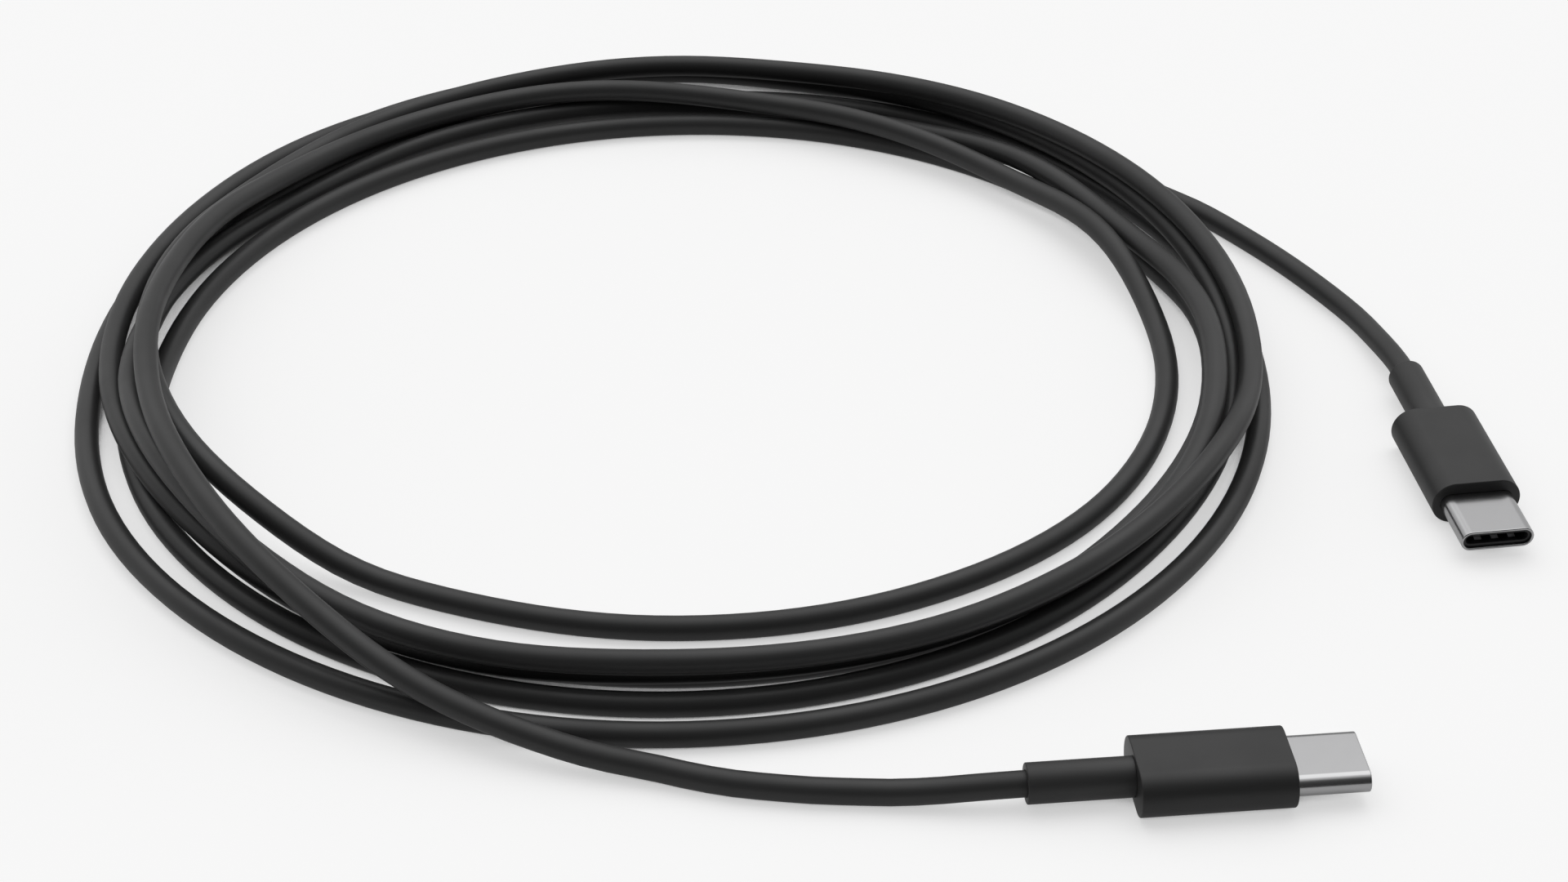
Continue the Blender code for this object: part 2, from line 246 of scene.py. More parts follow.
# The studio's light, as the way to each part's middle and how bright it is at each nearness to
# that way: the lamps overhead and the pale walls on the left and the right
LAMPS_FALL = (
    (0.0, 0.04),
    (0.42, 0.06),
    (0.58, 0.10),
    (0.70, 0.26),
    (0.78, 0.59),
    (0.86, 0.61),
    (0.92, 1.0),
    (1.0, 1.0),
)
WALL_FALL = (
    (0.0, 0.0),
    (0.30, 0.01),
    (0.60, 0.08),
    (0.88, 0.42),
    (1.0, 0.45),
)
STUDIO_LIGHTS = (
    ("lamps", (-0.05, 0.36, 0.93), LAMPS_FALL),
    ("left wall", (-0.86, 0.50, 0.10), WALL_FALL),
    ("right wall", (0.86, 0.50, 0.10), WALL_FALL),
)


# Settings in the sidebar


class CableSettings(bpy.types.PropertyGroup):
    """Size and finish of the cable."""

    diameter: bpy.props.FloatProperty(
        name="Diameter",
        description="Outer diameter of the cable's jacket",
        default=CABLE_DIAMETER,
        min=0.001,
        precision=5,
        subtype="DISTANCE",
        unit="LENGTH",
    )
    colour: bpy.props.FloatVectorProperty(
        name="Colour",
        description="Colour of the jacket",
        default=(0.036, 0.036, 0.0362),
        min=0.0,
        max=1.0,
        subtype="COLOR",
    )
    worn_colour: bpy.props.FloatVectorProperty(
        name="Handled colour",
        description="Colour of the jacket where it has been handled",
        default=(0.041, 0.041, 0.0412),
        min=0.0,
        max=1.0,
        subtype="COLOR",
    )


class PlugSettings(bpy.types.PropertyGroup):
    """Size and finish of both plugs."""

    length: bpy.props.FloatProperty(
        name="Housing length",
        description="Length of the moulded housing",
        default=HOUSING_LENGTH,
        precision=5,
        subtype="DISTANCE",
        unit="LENGTH",
    )
    width: bpy.props.FloatProperty(
        name="Housing width",
        description="Width of the moulded housing",
        default=HOUSING_WIDTH,
        precision=5,
        subtype="DISTANCE",
        unit="LENGTH",
    )
    thickness: bpy.props.FloatProperty(
        name="Housing thickness",
        description="Thickness of the moulded housing",
        default=HOUSING_THICKNESS,
        precision=5,
        subtype="DISTANCE",
        unit="LENGTH",
    )
    sleeve_diameter: bpy.props.FloatProperty(
        name="Sleeve diameter",
        description="Diameter of the soft sleeve behind the housing",
        default=SLEEVE_DIAMETER,
        precision=5,
        subtype="DISTANCE",
        unit="LENGTH",
    )
    colour: bpy.props.FloatVectorProperty(
        name="Housing colour",
        description="Colour of the housing's plastic",
        default=(0.025, 0.025, 0.0252),
        min=0.0,
        max=1.0,
        subtype="COLOR",
    )
    worn_colour: bpy.props.FloatVectorProperty(
        name="Handled colour",
        description="Colour of the housing where it has been handled",
        default=(0.028, 0.028, 0.0282),
        min=0.0,
        max=1.0,
        subtype="COLOR",
    )
    steel_colour: bpy.props.FloatVectorProperty(
        name="Steel colour",
        description="Colour of the shell's steel",
        default=(0.47, 0.47, 0.475),
        min=0.0,
        max=1.0,
        subtype="COLOR",
    )
    liner_colour: bpy.props.FloatVectorProperty(
        name="Liner colour",
        description="Colour of the dark plastic inside the shell",
        default=(0.010, 0.010, 0.011),
        min=0.0,
        max=1.0,
        subtype="COLOR",
    )


class StudioSettings(bpy.types.PropertyGroup):
    """Floor and light."""

    floor_colour: bpy.props.FloatVectorProperty(
        name="Floor colour",
        description="Colour of the pale floor",
        default=(0.53, 0.53, 0.53),
        min=0.0,
        max=1.0,
        subtype="COLOR",
    )
    floor_glow: bpy.props.FloatProperty(
        name="Floor glow",
        description="Light that the floor gives by itself, which keeps the shadows pale",
        default=0.56,
        min=0.0,
    )
    key_strength: bpy.props.FloatProperty(
        name="Key light",
        description="Strength of the broad light from above and behind",
        default=0.20,
        min=0.0,
    )
    sky_strength: bpy.props.FloatProperty(
        name="Surrounding light",
        description="Strength of the even light from all round",
        default=1.28,
        min=0.0,
    )


# Surfaces


def node(tree, kind, label, **inputs):
    """A shader node with its label and its inputs' values, each input's spaces as underscores."""
    made = tree.nodes.new(kind)
    made.label = label
    for name, value in inputs.items():
        made.inputs[name.replace("_", " ")].default_value = value
    return made


def moulded_grain_group():
    """Fine grain and uneven gloss of a moulded soft surface, by place on the piece."""
    group = bpy.data.node_groups.get("moulded_grain")
    if group is not None:
        return group
    group = bpy.data.node_groups.new("moulded_grain", "ShaderNodeTree")
    face = group.interface
    face.new_socket("Grain Scale", in_out="INPUT", socket_type="NodeSocketFloat")
    face.new_socket("Smear Scale", in_out="INPUT", socket_type="NodeSocketFloat")
    face.new_socket("Grain", in_out="OUTPUT", socket_type="NodeSocketFloat")
    face.new_socket("Smears", in_out="OUTPUT", socket_type="NodeSocketFloat")
    entry = group.nodes.new("NodeGroupInput")
    leave = group.nodes.new("NodeGroupOutput")
    place = node(group, "ShaderNodeTexCoord", "place on the piece")
    fine = node(group, "ShaderNodeTexNoise", "fine grain", Detail=2.0, Roughness=0.6)
    broad = node(group, "ShaderNodeTexNoise", "handling smears", Detail=4.0, Roughness=0.55)
    spread = node(
        group, "ShaderNodeMapRange", "spread the smears", From_Min=SMEARS_FROM, From_Max=SMEARS_TO
    )
    spread.interpolation_type = "SMOOTHSTEP"
    group.links.new(place.outputs["Object"], fine.inputs["Vector"])
    group.links.new(place.outputs["Object"], broad.inputs["Vector"])
    group.links.new(entry.outputs["Grain Scale"], fine.inputs["Scale"])
    group.links.new(entry.outputs["Smear Scale"], broad.inputs["Scale"])
    group.links.new(broad.outputs["Fac"], spread.inputs["Value"])
    group.links.new(fine.outputs["Fac"], leave.inputs["Grain"])
    group.links.new(spread.outputs["Result"], leave.inputs["Smears"])
    return group


def drawn_metal_group():
    """Fine lines and duller stains of a drawn metal, by millimetres along and round the piece."""
    group = bpy.data.node_groups.get("drawn_metal")
    if group is not None:
        return group
    group = bpy.data.node_groups.new("drawn_metal", "ShaderNodeTree")
    face = group.interface
    face.new_socket("Line Scale", in_out="INPUT", socket_type="NodeSocketVector")
    face.new_socket("Stain Scale", in_out="INPUT", socket_type="NodeSocketFloat")
    face.new_socket("Lines", in_out="OUTPUT", socket_type="NodeSocketFloat")
    face.new_socket("Stains", in_out="OUTPUT", socket_type="NodeSocketFloat")
    entry = group.nodes.new("NodeGroupInput")
    leave = group.nodes.new("NodeGroupOutput")
    place = node(group, "ShaderNodeUVMap", "millimetres along and round")
    stretch = node(group, "ShaderNodeMapping", "stretch along the piece")
    lines = node(
        group, "ShaderNodeTexNoise", "drawing lines", Scale=1.0, Detail=5.0, Roughness=0.7
    )
    stains = node(group, "ShaderNodeTexNoise", "handling stains", Detail=3.0)
    group.links.new(place.outputs["UV"], stretch.inputs["Vector"])
    group.links.new(entry.outputs["Line Scale"], stretch.inputs["Scale"])
    group.links.new(stretch.outputs["Vector"], lines.inputs["Vector"])
    group.links.new(place.outputs["UV"], stains.inputs["Vector"])
    group.links.new(entry.outputs["Stain Scale"], stains.inputs["Scale"])
    group.links.new(lines.outputs["Fac"], leave.inputs["Lines"])
    group.links.new(stains.outputs["Fac"], leave.inputs["Stains"])
    return group


def principled(material):
    """The material's own shader node."""
    return material.node_tree.nodes["Principled BSDF"]


def moulded_material(name, colour, worn_colour, gloss, grain_scale, smear_scale, shine):
    """A moulded plastic or rubber, its roughness between the two values of gloss."""
    material = bpy.data.materials.new(name)
    material.use_nodes = True
    tree = material.node_tree
    shader = principled(material)
    shader.inputs["Specular IOR Level"].default_value = shine
    surface = tree.nodes.new("ShaderNodeGroup")
    surface.node_tree = moulded_grain_group()
    surface.inputs["Grain Scale"].default_value = grain_scale
    surface.inputs["Smear Scale"].default_value = smear_scale
    tone = node(tree, "ShaderNodeMix", "handled places")
    tone.data_type = "RGBA"
    tone.inputs[MIX_FIRST].default_value = (*colour, 1.0)
    tone.inputs[MIX_SECOND].default_value = (*worn_colour, 1.0)
    glossy, dull = gloss
    sheen = node(tree, "ShaderNodeMapRange", "uneven gloss", To_Min=dull, To_Max=glossy)
    bump = node(tree, "ShaderNodeBump", "grain", Strength=GRAIN_SHARE, Distance=GRAIN_DEPTH)
    tree.links.new(surface.outputs["Smears"], tone.inputs[0])
    tree.links.new(surface.outputs["Smears"], sheen.inputs["Value"])
    tree.links.new(surface.outputs["Grain"], bump.inputs["Height"])
    tree.links.new(tone.outputs[MIX_RESULT], shader.inputs["Base Color"])
    tree.links.new(sheen.outputs["Result"], shader.inputs["Roughness"])
    tree.links.new(bump.outputs["Normal"], shader.inputs["Normal"])
    return material


def metal_material(name, colour, gloss, line_scale, stain_scale):
    """A drawn metal with its fine lines, its roughness between the two values of gloss."""
    material = bpy.data.materials.new(name)
    material.use_nodes = True
    tree = material.node_tree
    shader = principled(material)
    shader.inputs["Metallic"].default_value = 1.0
    surface = tree.nodes.new("ShaderNodeGroup")
    surface.node_tree = drawn_metal_group()
    surface.inputs["Line Scale"].default_value = line_scale
    surface.inputs["Stain Scale"].default_value = stain_scale
    tone = node(tree, "ShaderNodeMix", "dull places")
    tone.data_type = "RGBA"
    tone.inputs[MIX_FIRST].default_value = (*(METAL_STAINED * part for part in colour), 1.0)
    tone.inputs[MIX_SECOND].default_value = (*colour, 1.0)
    glossy, dull = gloss
    rough = node(
        tree, "ShaderNodeMapRange", "gloss between the lines", To_Min=glossy, To_Max=dull
    )
    bump = node(tree, "ShaderNodeBump", "lines", Strength=LINE_SHARE, Distance=LINE_DEPTH)
    tree.links.new(surface.outputs["Stains"], tone.inputs[0])
    tree.links.new(surface.outputs["Lines"], rough.inputs["Value"])
    tree.links.new(surface.outputs["Lines"], bump.inputs["Height"])
    tree.links.new(tone.outputs[MIX_RESULT], shader.inputs["Base Color"])
    tree.links.new(rough.outputs["Result"], shader.inputs["Roughness"])
    tree.links.new(bump.outputs["Normal"], shader.inputs["Normal"])
    return material


# Places of the plugs and the cable


def round_coil(angle, reach, height):
    """A place at an angle round the coil's middle, a reach from it and a height."""
    across = COIL_CENTRE_X + reach * math.cos(angle)
    away = COIL_CENTRE_Y + reach * math.sin(angle)
    return Vector((across, away, height))


def beside_coil(bearing, distance, height):
    """A place at a bearing from the coil's middle and a distance outside the coil's edge."""
    angle = math.radians(bearing)
    half_width = COIL_WIDTH / 2
    half_depth = COIL_DEPTH / 2
    edge = half_width * half_depth / math.hypot(
        half_depth * math.cos(angle), half_width * math.sin(angle)
    )
    return round_coil(angle, edge + distance, height)


def plug_frame(plug):
    """The place of a plug: X along it to the mouth, from the middle of its cable end."""
    bearing, distance, yaw = PLUG_PLACES[plug]
    place = beside_coil(bearing, distance, PLUG_HEIGHT)
    return Matrix.Translation(place) @ Matrix.Rotation(yaw, 4, "Z")


def curve_through(places, detail):
    """Close points on one smooth curve through the given places."""
    points = []
    last = len(places) - 1
    for index in range(last):
        here = places[index]
        there = places[index + 1]
        before = places[index - 1] if index > 0 else 2 * here - there
        after = places[index + 2] if index + 2 <= last else 2 * there - here
        handle_out = here + (there - before) / HANDLE_PARTS
        handle_in = there - (after - here) / HANDLE_PARTS
        run = interpolate_bezier(here, handle_out, handle_in, there, detail)
        points.extend(run if index == last - 1 else run[:-1])
    return points


def spaced(points, spacing):
    """Points a set distance apart along a line of close points."""
    total = sum((b - a).length for a, b in zip(points, points[1:]))
    count = round(total / spacing)
    step = total / count
    chosen = [points[0]]
    travelled = 0.0
    for a, b in zip(points, points[1:]):
        length = (b - a).length
        while len(chosen) < count and travelled + length >= step * len(chosen):
            chosen.append(a.lerp(b, (step * len(chosen) - travelled) / length))
        travelled += length
    chosen.append(points[-1])
    return chosen


def turn_reaches():
    """How far the cable lies from the coil's middle at each station of its turns."""
    reaches = [reach * MM for turn in TURN_REACH for reach in turn]
    places = [Vector((reach, 0.0, 0.0)) for reach in reaches]
    detail = STATIONS_PER_TURN // REACHES_PER_TURN + 1
    return [place.x for place in curve_through(places, detail)]


def contact_heights(reaches, heights):
    """The height at which each station rests on the floor or on the turns laid down before it."""
    clear = CABLE_DIAMETER + TURN_GAP
    resting = []
    for station, reach in enumerate(reaches):
        height = CABLE_RADIUS
        for under in range(station + STATIONS_PER_TURN, len(reaches), STATIONS_PER_TURN):
            aside = abs(reach - reaches[under])
            if aside < clear:
                height = max(height, heights[under] + math.sqrt(clear**2 - aside**2))
        resting.append(height)
    return resting


def low_humps(reaches, heights):
    """The same heights with a long low hump over each crossing, because the cable is springy."""
    humps = []
    for station in range(len(heights)):
        first = max(station - HUMP_STATIONS, 0)
        last = min(station + HUMP_STATIONS, len(heights) - 1)
        best = 0.0
        for other in range(first, last + 1):
            away = 2 * math.pi * reaches[station] * (other - station) / STATIONS_PER_TURN
            best = max(best, heights[other] - away**2 / (2 * HUMP_RADIUS))
        humps.append(best)
    return humps


def softened(heights):
    """The heights with their sharp changes eased."""
    own_share = 1 - 2 * EASING_SHARE
    eased = []
    for station, height in enumerate(heights):
        before = heights[max(station - 1, 0)]
        after = heights[min(station + 1, len(heights) - 1)]
        eased.append(EASING_SHARE * before + own_share * height + EASING_SHARE * after)
    return eased


def coil_places():
    """The middle of the cable through all the turns, from the front plug's end to the rear's."""
    reaches = turn_reaches()
    heights = [CABLE_RADIUS] * len(reaches)
    for _ in range(SETTLING_PASSES):
        heights = low_humps(reaches, contact_heights(reaches, heights))
    for _ in range(EASING_PASSES):
        heights = softened(heights)
    places = []
    for station, (reach, height) in enumerate(zip(reaches, heights)):
        angle = -math.pi / 2 - 2 * math.pi * station / STATIONS_PER_TURN
        places.append(round_coil(angle, reach, height))
    return places


def tail_places(plug):
    """The middle of a loose end, from inside the sleeve's bore to the coil."""
    place = plug_frame(plug)
    mouth = place @ Vector((-FACE_GAP - SLEEVE_LENGTH, 0.0, 0.0))
    outward = place.to_3x3() @ Vector((-1.0, 0.0, 0.0))
    inside = mouth - outward * (CABLE_BORE_DEPTH - FACE_GAP)
    places = [inside, mouth]
    places.extend(beside_coil(*stop) for stop in TAIL_ROUTES[plug])
    return places


def cable_line():
    """The middle of the whole cable as evenly spaced points."""
    places = tail_places("front")
    places.extend(coil_places())
    places.extend(reversed(tail_places("rear")))
    return spaced(curve_through(places, LINE_DETAIL), POINT_SPACING)


# Shapes of the plugs' pieces


def stadium_ring(x, width, thickness):
    """Points round a flat bar's section with full round sides, at one place along the plug."""
    radius = thickness / 2
    reach = width / 2 - radius
    half = RING_POINTS // 2
    ring = []
    for side, start in ((reach, -math.pi / 2), (-reach, math.pi / 2)):
        for step in range(half):
            angle = start + math.pi * step / (half - 1)
            ring.append(Vector((x, side + radius * math.cos(angle), radius * math.sin(angle))))
    return ring


def edge_sections(x, width, thickness, radius, leaving):
    """Sections of a rounded edge from a flat end to the side, or from the side if leaving.

    A radius below zero rounds the edge of a bore instead.
    """
    sections = []
    for step in range(EDGE_STEPS + 1):
        angle = math.pi / 2 * step / EDGE_STEPS
        across = radius * (1 - math.sin(angle))
        along = radius * (1 - math.cos(angle))
        sections.append((x + along, width - 2 * across, thickness - 2 * across))
    if leaving:
        return [(2 * x - place, wide, thick) for place, wide, thick in reversed(sections)]
    return sections


def finished_mesh(name, points, faces, place):
    """A smooth mesh with crisp creases, mapped in millimetres along and round the plug."""
    mesh = bpy.data.meshes.new(name)
    mesh.from_pydata(points, [], faces)
    mesh.shade_smooth()
    mesh.set_sharp_from_angle(angle=CREASE_ANGLE)
    layer = mesh.uv_layers.new(name="UVMap")
    flat = place.inverted()
    for loop in mesh.loops:
        point = flat @ mesh.vertices[loop.vertex_index].co
        layer.data[loop.index].uv = (point.x / MM, (point.y + point.z) / MM)
    return mesh


def lofted_mesh(name, sections, closed, place):
    """A mesh skinned over sections (x, width, thickness), capped at its ends or joined up."""
    rings = [stadium_ring(*section) for section in sections]
    points = [place @ point for ring in rings for point in ring]
    count = len(rings)
    faces = []
    for index in range(count if closed else count - 1):
        here = index * RING_POINTS
        there = (index + 1) % count * RING_POINTS
        for step in range(RING_POINTS):
            turn = (step + 1) % RING_POINTS
            faces.append((here + step, here + turn, there + turn, there + step))
    if not closed:
        faces.append(tuple(reversed(range(RING_POINTS))))
        faces.append(tuple((count - 1) * RING_POINTS + step for step in range(RING_POINTS)))
    return finished_mesh(name, points, faces, place)


def housing_sections(settings):
    """Sections of the housing, from the floor of the sleeve's socket to that of the shell's."""
    socket = SLEEVE_ROOT_DIAMETER + 2 * SLIDE_GAP
    pocket_width = SHELL_WIDTH + 2 * SEAM_GAP
    pocket_thickness = SHELL_THICKNESS + 2 * SEAM_GAP
    size = (settings.width, settings.thickness)
    sections = [(SLEEVE_ROOT_LENGTH + FACE_GAP, socket, socket), (0.0, socket, socket)]
    sections.extend(edge_sections(0.0, *size, HOUSING_EDGE, False))
    sections.extend(edge_sections(settings.length, *size, HOUSING_EDGE, True))
    sections.append((settings.length, pocket_width, pocket_thickness))
    sections.append((settings.length - SHELL_ROOT - FACE_GAP, pocket_width, pocket_thickness))
    return sections


def sleeve_sections(settings):
    """Sections of the strain relief, from the floor of the cable's bore to the root's end."""
    bore = CABLE_DIAMETER + 2 * CABLE_BORE_GAP
    end = -SLEEVE_LENGTH - FACE_GAP
    size = (settings.sleeve_diameter, settings.sleeve_diameter)
    sections = [(end + CABLE_BORE_DEPTH, bore, bore), (end, bore, bore)]
    sections.extend(edge_sections(end, *size, SLEEVE_EDGE, False))
    sections.append((-SEAM_GAP, *size))
    sections.append((-SEAM_GAP, SLEEVE_ROOT_DIAMETER, SLEEVE_ROOT_DIAMETER))
    sections.append((SLEEVE_ROOT_LENGTH, SLEEVE_ROOT_DIAMETER, SLEEVE_ROOT_DIAMETER))
    return sections


def shell_sections(settings):
    """Sections of the steel tube, out along its outside, over the lip and back along its bore."""
    start = settings.length - SHELL_ROOT
    end = settings.length + SHELL_REACH
    bore = (SHELL_WIDTH - 2 * SHELL_WALL, SHELL_THICKNESS - 2 * SHELL_WALL)
    sections = [(start, SHELL_WIDTH, SHELL_THICKNESS)]
    sections.extend(edge_sections(end, SHELL_WIDTH, SHELL_THICKNESS, SHELL_LIP, True))
    sections.extend(edge_sections(end, *bore, -SHELL_LIP, False))
    sections.append((start, *bore))
    return sections


def liner_sections(settings):
    """Sections of the liner, from its back to the floor of the slot that its mouth holds."""
    inset = 2 * (SHELL_WALL + SEAM_GAP)
    size = (SHELL_WIDTH - inset, SHELL_THICKNESS - inset)
    start = settings.length - SHELL_ROOT
    end = settings.length + SHELL_REACH - LINER_RECESS
    slot = (LINER_SLOT_WIDTH, LINER_SLOT_HEIGHT)
    lead = (slot[0] + 2 * LINER_LEAD, slot[1] + 2 * LINER_LEAD)
    return [
        (start, *size),
        (end, *size),
        (end, *lead),
        (end - 2 * LINER_LEAD, *slot),
        (end - LINER_SLOT_DEPTH, *slot),
    ]


def bowed_strips(name, strips, place):
    """Thin bowed metal strips as one mesh, each (back x, length, width, middle y, z, bow)."""
    points = []
    faces = []
    for back, length, width, across, level, bow in strips:
        first = len(points)
        for step in range(STRIP_STEPS + 1):
            share = step / STRIP_STEPS
            rise = bow * math.sin(math.pi * share) ** 2
            top = level + rise
            under = top - math.copysign(CONTACT_THICKNESS, bow)
            for side in (-width / 2, width / 2):
                points.append(place @ Vector((back + length * share, across + side, top)))
                points.append(place @ Vector((back + length * share, across + side, under)))
        for step in range(STRIP_STEPS):
            a = first + STRIP_CORNERS * step
            b = a + STRIP_CORNERS
            faces.append((a, a + 2, b + 2, b))
            faces.append((a + 1, b + 1, b + 3, a + 3))
            faces.append((a, b, b + 1, a + 1))
            faces.append((a + 2, a + 3, b + 3, b + 2))
        end = first + STRIP_CORNERS * STRIP_STEPS
        faces.append((first, first + 1, first + 3, first + 2))
        faces.append((end, end + 2, end + 3, end + 1))
    return finished_mesh(name, points, faces, place)


def mouth_row(count, pitch, back, length, width, side, bow):
    """Like strips side by side on one wall of the liner's slot, above or below its middle."""
    strips = []
    for index in range(count):
        across = pitch * (index - (count - 1) / 2)
        strips.append((back, length, width, across, side * LINER_SLOT_HEIGHT / 2, -side * bow))
    return strips


def mouth_strips(settings):
    """The strips of a mouth's contacts and those of its springs, in two rows each."""
    front = settings.length + SHELL_REACH - LINER_RECESS
    contact = (front - LINER_SLOT_DEPTH + CONTACT_THICKNESS, CONTACT_LENGTH, CONTACT_WIDTH)
    spring = (front - SPRING_LENGTH - SPRING_SETBACK, SPRING_LENGTH, SPRING_WIDTH)
    contacts = []
    springs = []
    for side in (-1, 1):
        contacts += mouth_row(CONTACTS_PER_ROW, CONTACT_PITCH, *contact, side, CONTACT_BOW)
        springs += mouth_row(SPRINGS_PER_ROW, SPRING_PITCH, *spring, side, SPRING_BOW)
    return contacts, springs


# Pieces in the scene


def add_piece(name, data, material):
    """A piece in the scene that rides with the cable, with its material and finish."""
    piece = bpy.data.objects.new(name, data)
    bpy.context.scene.collection.objects.link(piece)
    data.materials.append(material)
    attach(piece, "root")
    return piece


def add_lofted(plug, part, sections, closed, material, solid):
    """A lofted piece of a plug in place of its solid, with its flat faces shaded flat."""
    name = plug + "_" + part
    piece = add_piece(name, lofted_mesh(name, sections, closed, plug_frame(plug)), material)
    flat = piece.modifiers.new("flat faces", "WEIGHTED_NORMAL")
    flat.keep_sharp = True
    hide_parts(plug + "_" + solid)


class CABLE_OT_cable(bpy.types.Operator):
    """Lay the cable in its coil, with a loose end to each plug"""

    bl_idname = "cable.cable"
    bl_label = "Cable"

    def execute(self, context):
        """Make the cable as one round tube along its line."""
        settings = context.scene.cable_settings
        line = cable_line()
        curve = bpy.data.curves.new("cable", "CURVE")
        curve.dimensions = "3D"
        curve.bevel_depth = settings.diameter / 2
        curve.bevel_resolution = CABLE_ROUND
        curve.use_fill_caps = True
        spline = curve.splines.new("POLY")
        spline.points.add(len(line) - 1)
        for point, place in zip(spline.points, line):
            point.co = (*place, 1.0)
        spline.use_smooth = True
        colours = (settings.colour, settings.worn_colour)
        jacket = moulded_material("jacket_rubber", *colours, **JACKET_FINISH)
        cable = add_piece("cable", curve, jacket)
        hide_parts("cable_coil", "cable_tail_front", "cable_tail_rear")
        return {"FINISHED"}


class CABLE_OT_sleeves(bpy.types.Operator):
    """Make the soft sleeve on the cable behind each housing"""

    bl_idname = "cable.sleeves"
    bl_label = "Strain reliefs"

    def execute(self, context):
        """Make both sleeves, each with the bore that the cable goes into."""
        cable = context.scene.cable_settings
        colours = (cable.colour, cable.worn_colour)
        rubber = moulded_material("sleeve_rubber", *colours, **SLEEVE_FINISH)
        for plug in PLUG_PLACES:
            sections = sleeve_sections(context.scene.plug_settings)
            add_lofted(plug, "sleeve", sections, False, rubber, "strain_relief")
        return {"FINISHED"}


class CABLE_OT_housings(bpy.types.Operator):
    """Make the moulded housing of each plug"""

    bl_idname = "cable.housings"
    bl_label = "Plug housings"

    def execute(self, context):
        """Make both housings, each with a socket for its sleeve and a pocket for its shell."""
        settings = context.scene.plug_settings
        colours = (settings.colour, settings.worn_colour)
        plastic = moulded_material("housing_plastic", *colours, **HOUSING_FINISH)
        for plug in PLUG_PLACES:
            sections = housing_sections(settings)
            add_lofted(plug, "housing", sections, False, plastic, "plug_housing")
        return {"FINISHED"}


class CABLE_OT_shells(bpy.types.Operator):
    """Make the steel shell of each plug"""

    bl_idname = "cable.shells"
    bl_label = "Steel shells"

    def execute(self, context):
        """Make both shells, each an open tube with a rounded lip."""
        settings = context.scene.plug_settings
        steel = metal_material("shell_steel", settings.steel_colour, **SHELL_FINISH)
        for plug in PLUG_PLACES:
            sections = shell_sections(settings)
            add_lofted(plug, "shell", sections, True, steel, "plug_shell")
        return {"FINISHED"}


class CABLE_OT_mouths(bpy.types.Operator):
    """Make what each plug's mouth holds: the liner, its contacts and the earthing springs"""

    bl_idname = "cable.mouths"
    bl_label = "Mouths"

    def execute(self, context):
        """Make both liners with two rows of contacts and of springs."""
        settings = context.scene.plug_settings
        dark = settings.liner_colour
        rubbed = tuple(LINER_RUBBED * part for part in dark)
        plastic = moulded_material("liner_plastic", dark, rubbed, **LINER_FINISH)
        gilt = metal_material("contact_gilt", CONTACT_COLOUR, **CONTACT_FINISH)
        bright = metal_material("spring_steel", SPRING_COLOUR, **SPRING_FINISH)
        contacts, springs = mouth_strips(settings)
        for plug in PLUG_PLACES:
            sections = liner_sections(settings)
            add_lofted(plug, "liner", sections, False, plastic, "plug_liner")
            place = plug_frame(plug)
            add_piece(plug + "_contacts", bowed_strips(plug + "_contacts", contacts, place), gilt)
            add_piece(plug + "_springs", bowed_strips(plug + "_springs", springs, place), bright)
        return {"FINISHED"}


# Floor, light and camera


def floor_material(colour, glow):
    """A pale matt floor whose glow lifts its broad shadows, and whose glow is cut in narrow gaps
    to paint shade there.
    """
    material = bpy.data.materials.new("studio_floor")
    material.use_nodes = True
    tree = material.node_tree
    shader = principled(material)
    shader.inputs["Base Color"].default_value = (*colour, 1.0)
    shader.inputs["Roughness"].default_value = FLOOR_ROUGHNESS
    shader.inputs["Specular IOR Level"].default_value = 0.0
    # The glow is cut where neighbours are near, which paints shade into the floor's narrow gaps
    painted_gap_shade = node(tree, "ShaderNodeAmbientOcclusion", "painted shade in the gaps", Distance=GAP_REACH)
    painted_gap_shade.samples = GAP_SAMPLES
    spread = node(
        tree, "ShaderNodeMapRange", "glow where it is open", From_Min=GAP_DARK, From_Max=GAP_PALE
    )
    spread.inputs["To Max"].default_value = glow
    lift = node(tree, "ShaderNodeEmission", "lifted shadows")
    seen = node(tree, "ShaderNodeLightPath", "seen or lighting")
    faint = node(tree, "ShaderNodeEmission", "faint glow on the pieces", Strength=FLOOR_BOUNCE)
    either = node(tree, "ShaderNodeMixShader", "glow where it is seen")
    both = node(tree, "ShaderNodeAddShader", "floor and its glow")
    tree.links.new(painted_gap_shade.outputs["AO"], spread.inputs["Value"])
    tree.links.new(spread.outputs["Result"], lift.inputs["Strength"])
    tree.links.new(seen.outputs["Is Camera Ray"], either.inputs[0])
    tree.links.new(faint.outputs[0], either.inputs[1])
    tree.links.new(lift.outputs[0], either.inputs[2])
    tree.links.new(shader.outputs[0], both.inputs[0])
    tree.links.new(either.outputs[0], both.inputs[1])
    tree.links.new(both.outputs[0], tree.nodes["Material Output"].inputs["Surface"])
    return material


def light_from(tree, label, way, falls, strength):
    """Light that comes from one way and falls off around it."""
    direction = node(tree, "ShaderNodeTexCoord", "direction")
    towards = node(tree, "ShaderNodeVectorMath", "towards the " + label)
    towards.operation = "DOT_PRODUCT"
    towards.inputs[1].default_value = way
    fall = node(tree, "ShaderNodeValToRGB", "fall of the " + label)
    fall.color_ramp.interpolation = "EASE"
    stops = fall.color_ramp.elements
    stops.remove(stops[1])
    for stop, level in falls:
        element = stops[0] if stop == 0.0 else stops.new(stop)
        element.color = (level, level, level, 1.0)
    light = node(tree, "ShaderNodeBackground", label, Strength=strength)
    tree.links.new(direction.outputs["Generated"], towards.inputs[0])
    tree.links.new(towards.outputs["Value"], fall.inputs["Fac"])
    tree.links.new(fall.outputs["Color"], light.inputs["Color"])
    return light.outputs[0]


